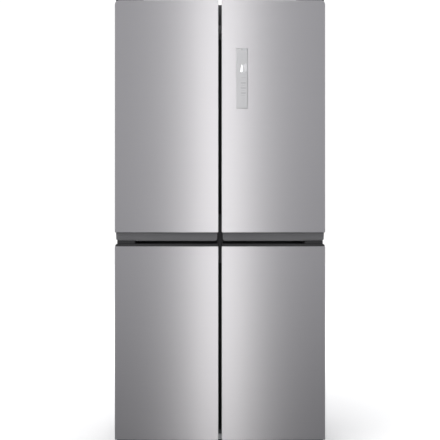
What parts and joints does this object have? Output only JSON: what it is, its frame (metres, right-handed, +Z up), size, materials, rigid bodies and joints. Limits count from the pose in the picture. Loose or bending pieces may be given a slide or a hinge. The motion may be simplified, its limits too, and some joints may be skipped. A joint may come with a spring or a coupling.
{
  "type": "french door refrigerator",
  "caption": "Free-standing refrigerator with paired upper and lower brushed steel doors, recessed finger grips between them, a flush display, shelves, bins and drawers.",
  "frame": {"origin": "on the floor, under the middle of the overall box", "axes": "+Z up, -Y out of the doors' fronts, +X to the right of a person facing the doors"},
  "size_m": [0.79, 0.7, 1.75],
  "materials": {
    "brushed_steel": "horizontal grain, satin",
    "dark_trim": "dark grey, fine satin",
    "black_plastic": "black, fine texture",
    "display_plastic": "silver-grey smooth plate",
    "cabinet_paint": "grey stipple paint",
    "galvanised_steel": "zinc-coated sheet",
    "liner_plastic": "white, smooth",
    "gasket_rubber": "soft, matt",
    "clear_plastic": "clear, polished",
    "shelf_glass": "clear toughened glass",
    "hinge_steel": "grey plated",
    "compressor_paint": "black gloss paint",
    "tube_paint": "black paint",
    "fin_aluminium": "bare fins",
    "foot_plastic": "black, hard"
  },
  "bodies": {
    "cabinet": {"cabinet_shell": "cabinet_paint", "back_panel": "galvanised_steel", "machine_cover": "galvanised_steel", "base_pan": "galvanised_steel", "fridge_liner": "liner_plastic", "freezer_liner": "liner_plastic", "air_duct": "liner_plastic", "front_frame": "dark_trim", "plinth": "black_plastic", "compressor": "compressor_paint", "condenser_coil": "tube_paint", "evaporator": "fin_aluminium", "shelf_low": "shelf_glass", "shelf_high": "shelf_glass", "crisper_cover": "shelf_glass", "top_hinge_left": "hinge_steel", "middle_hinge_left": "hinge_steel", "bottom_hinge_left": "hinge_steel", "top_hinge_cover_left": "black_plastic", "top_hinge_right": "hinge_steel", "middle_hinge_right": "hinge_steel", "bottom_hinge_right": "hinge_steel", "top_hinge_cover_right": "black_plastic"},
    "upper_left_door": {"upper_left_skin": "brushed_steel", "upper_left_top_cap": "black_plastic", "upper_left_grip_trim": "dark_trim", "upper_left_liner": "liner_plastic", "upper_left_gasket": "gasket_rubber", "upper_left_bin_low": "clear_plastic", "upper_left_bin_mid": "clear_plastic", "upper_left_bin_high": "clear_plastic"},
    "upper_right_door": {"upper_right_skin": "brushed_steel", "upper_right_top_cap": "black_plastic", "upper_right_grip_trim": "dark_trim", "upper_right_liner": "liner_plastic", "upper_right_gasket": "gasket_rubber", "upper_right_bin_low": "clear_plastic", "upper_right_bin_mid": "clear_plastic", "upper_right_bin_high": "clear_plastic", "display_panel": "display_plastic"},
    "lower_left_door": {"lower_left_skin": "brushed_steel", "lower_left_bottom_cap": "black_plastic", "lower_left_grip_trim": "dark_trim", "lower_left_liner": "liner_plastic", "lower_left_gasket": "gasket_rubber"},
    "lower_right_door": {"lower_right_skin": "brushed_steel", "lower_right_bottom_cap": "black_plastic", "lower_right_grip_trim": "dark_trim", "lower_right_liner": "liner_plastic", "lower_right_gasket": "gasket_rubber"},
    "crisper_left": {"crisper_left": "clear_plastic"},
    "freezer_drawer_left_low": {"freezer_drawer_left_low": "clear_plastic"},
    "freezer_drawer_left_high": {"freezer_drawer_left_high": "clear_plastic"},
    "foot_left": {"foot_left": "foot_plastic"},
    "roller_left": {"roller_left": "foot_plastic"},
    "crisper_right": {"crisper_right": "clear_plastic"},
    "freezer_drawer_right_low": {"freezer_drawer_right_low": "clear_plastic"},
    "freezer_drawer_right_high": {"freezer_drawer_right_high": "clear_plastic"},
    "foot_right": {"foot_right": "foot_plastic"},
    "roller_right": {"roller_right": "foot_plastic"}
  },
  "joints": [
    {"name": "upper_left_door_hinge", "type": "hinge", "parent": "cabinet", "child": "upper_left_door", "pos_m": [-0.375, -0.31, 1.284], "axis": [0, 0, -1], "range_deg": [0, 120]},
    {"name": "upper_right_door_hinge", "type": "hinge", "parent": "cabinet", "child": "upper_right_door", "pos_m": [0.375, -0.31, 1.284], "axis": [0, 0, 1], "range_deg": [0, 120]},
    {"name": "lower_left_door_hinge", "type": "hinge", "parent": "cabinet", "child": "lower_left_door", "pos_m": [-0.375, -0.31, 0.438], "axis": [0, 0, -1], "range_deg": [0, 120]},
    {"name": "lower_right_door_hinge", "type": "hinge", "parent": "cabinet", "child": "lower_right_door", "pos_m": [0.375, -0.31, 0.438], "axis": [0, 0, 1], "range_deg": [0, 120]},
    {"name": "crisper_left_slide", "type": "slide", "parent": "cabinet", "child": "crisper_left", "axis": [0, -1, 0], "range_m": [0, 0.032]},
    {"name": "freezer_drawer_left_low_slide", "type": "slide", "parent": "cabinet", "child": "freezer_drawer_left_low", "axis": [0, -1, 0], "range_m": [0, 0.032]},
    {"name": "freezer_drawer_left_high_slide", "type": "slide", "parent": "cabinet", "child": "freezer_drawer_left_high", "axis": [0, -1, 0], "range_m": [0, 0.032]},
    {"name": "crisper_right_slide", "type": "slide", "parent": "cabinet", "child": "crisper_right", "axis": [0, -1, 0], "range_m": [0, 0.032]},
    {"name": "freezer_drawer_right_low_slide", "type": "slide", "parent": "cabinet", "child": "freezer_drawer_right_low", "axis": [0, -1, 0], "range_m": [0, 0.032]},
    {"name": "freezer_drawer_right_high_slide", "type": "slide", "parent": "cabinet", "child": "freezer_drawer_right_high", "axis": [0, -1, 0], "range_m": [0, 0.032]},
    {"name": "foot_left_turn", "type": "hinge", "parent": "cabinet", "child": "foot_left", "pos_m": [-0.34, -0.22, 0.03], "axis": [0, 0, 1], "continuous": true},
    {"name": "roller_left_spin", "type": "hinge", "parent": "cabinet", "child": "roller_left", "pos_m": [-0.33, 0.29, 0.021], "axis": [1, 0, 0], "continuous": true},
    {"name": "foot_right_turn", "type": "hinge", "parent": "cabinet", "child": "foot_right", "pos_m": [0.34, -0.22, 0.03], "axis": [0, 0, 1], "continuous": true},
    {"name": "roller_right_spin", "type": "hinge", "parent": "cabinet", "child": "roller_right", "pos_m": [0.33, 0.29, 0.021], "axis": [1, 0, 0], "continuous": true}
  ]
}
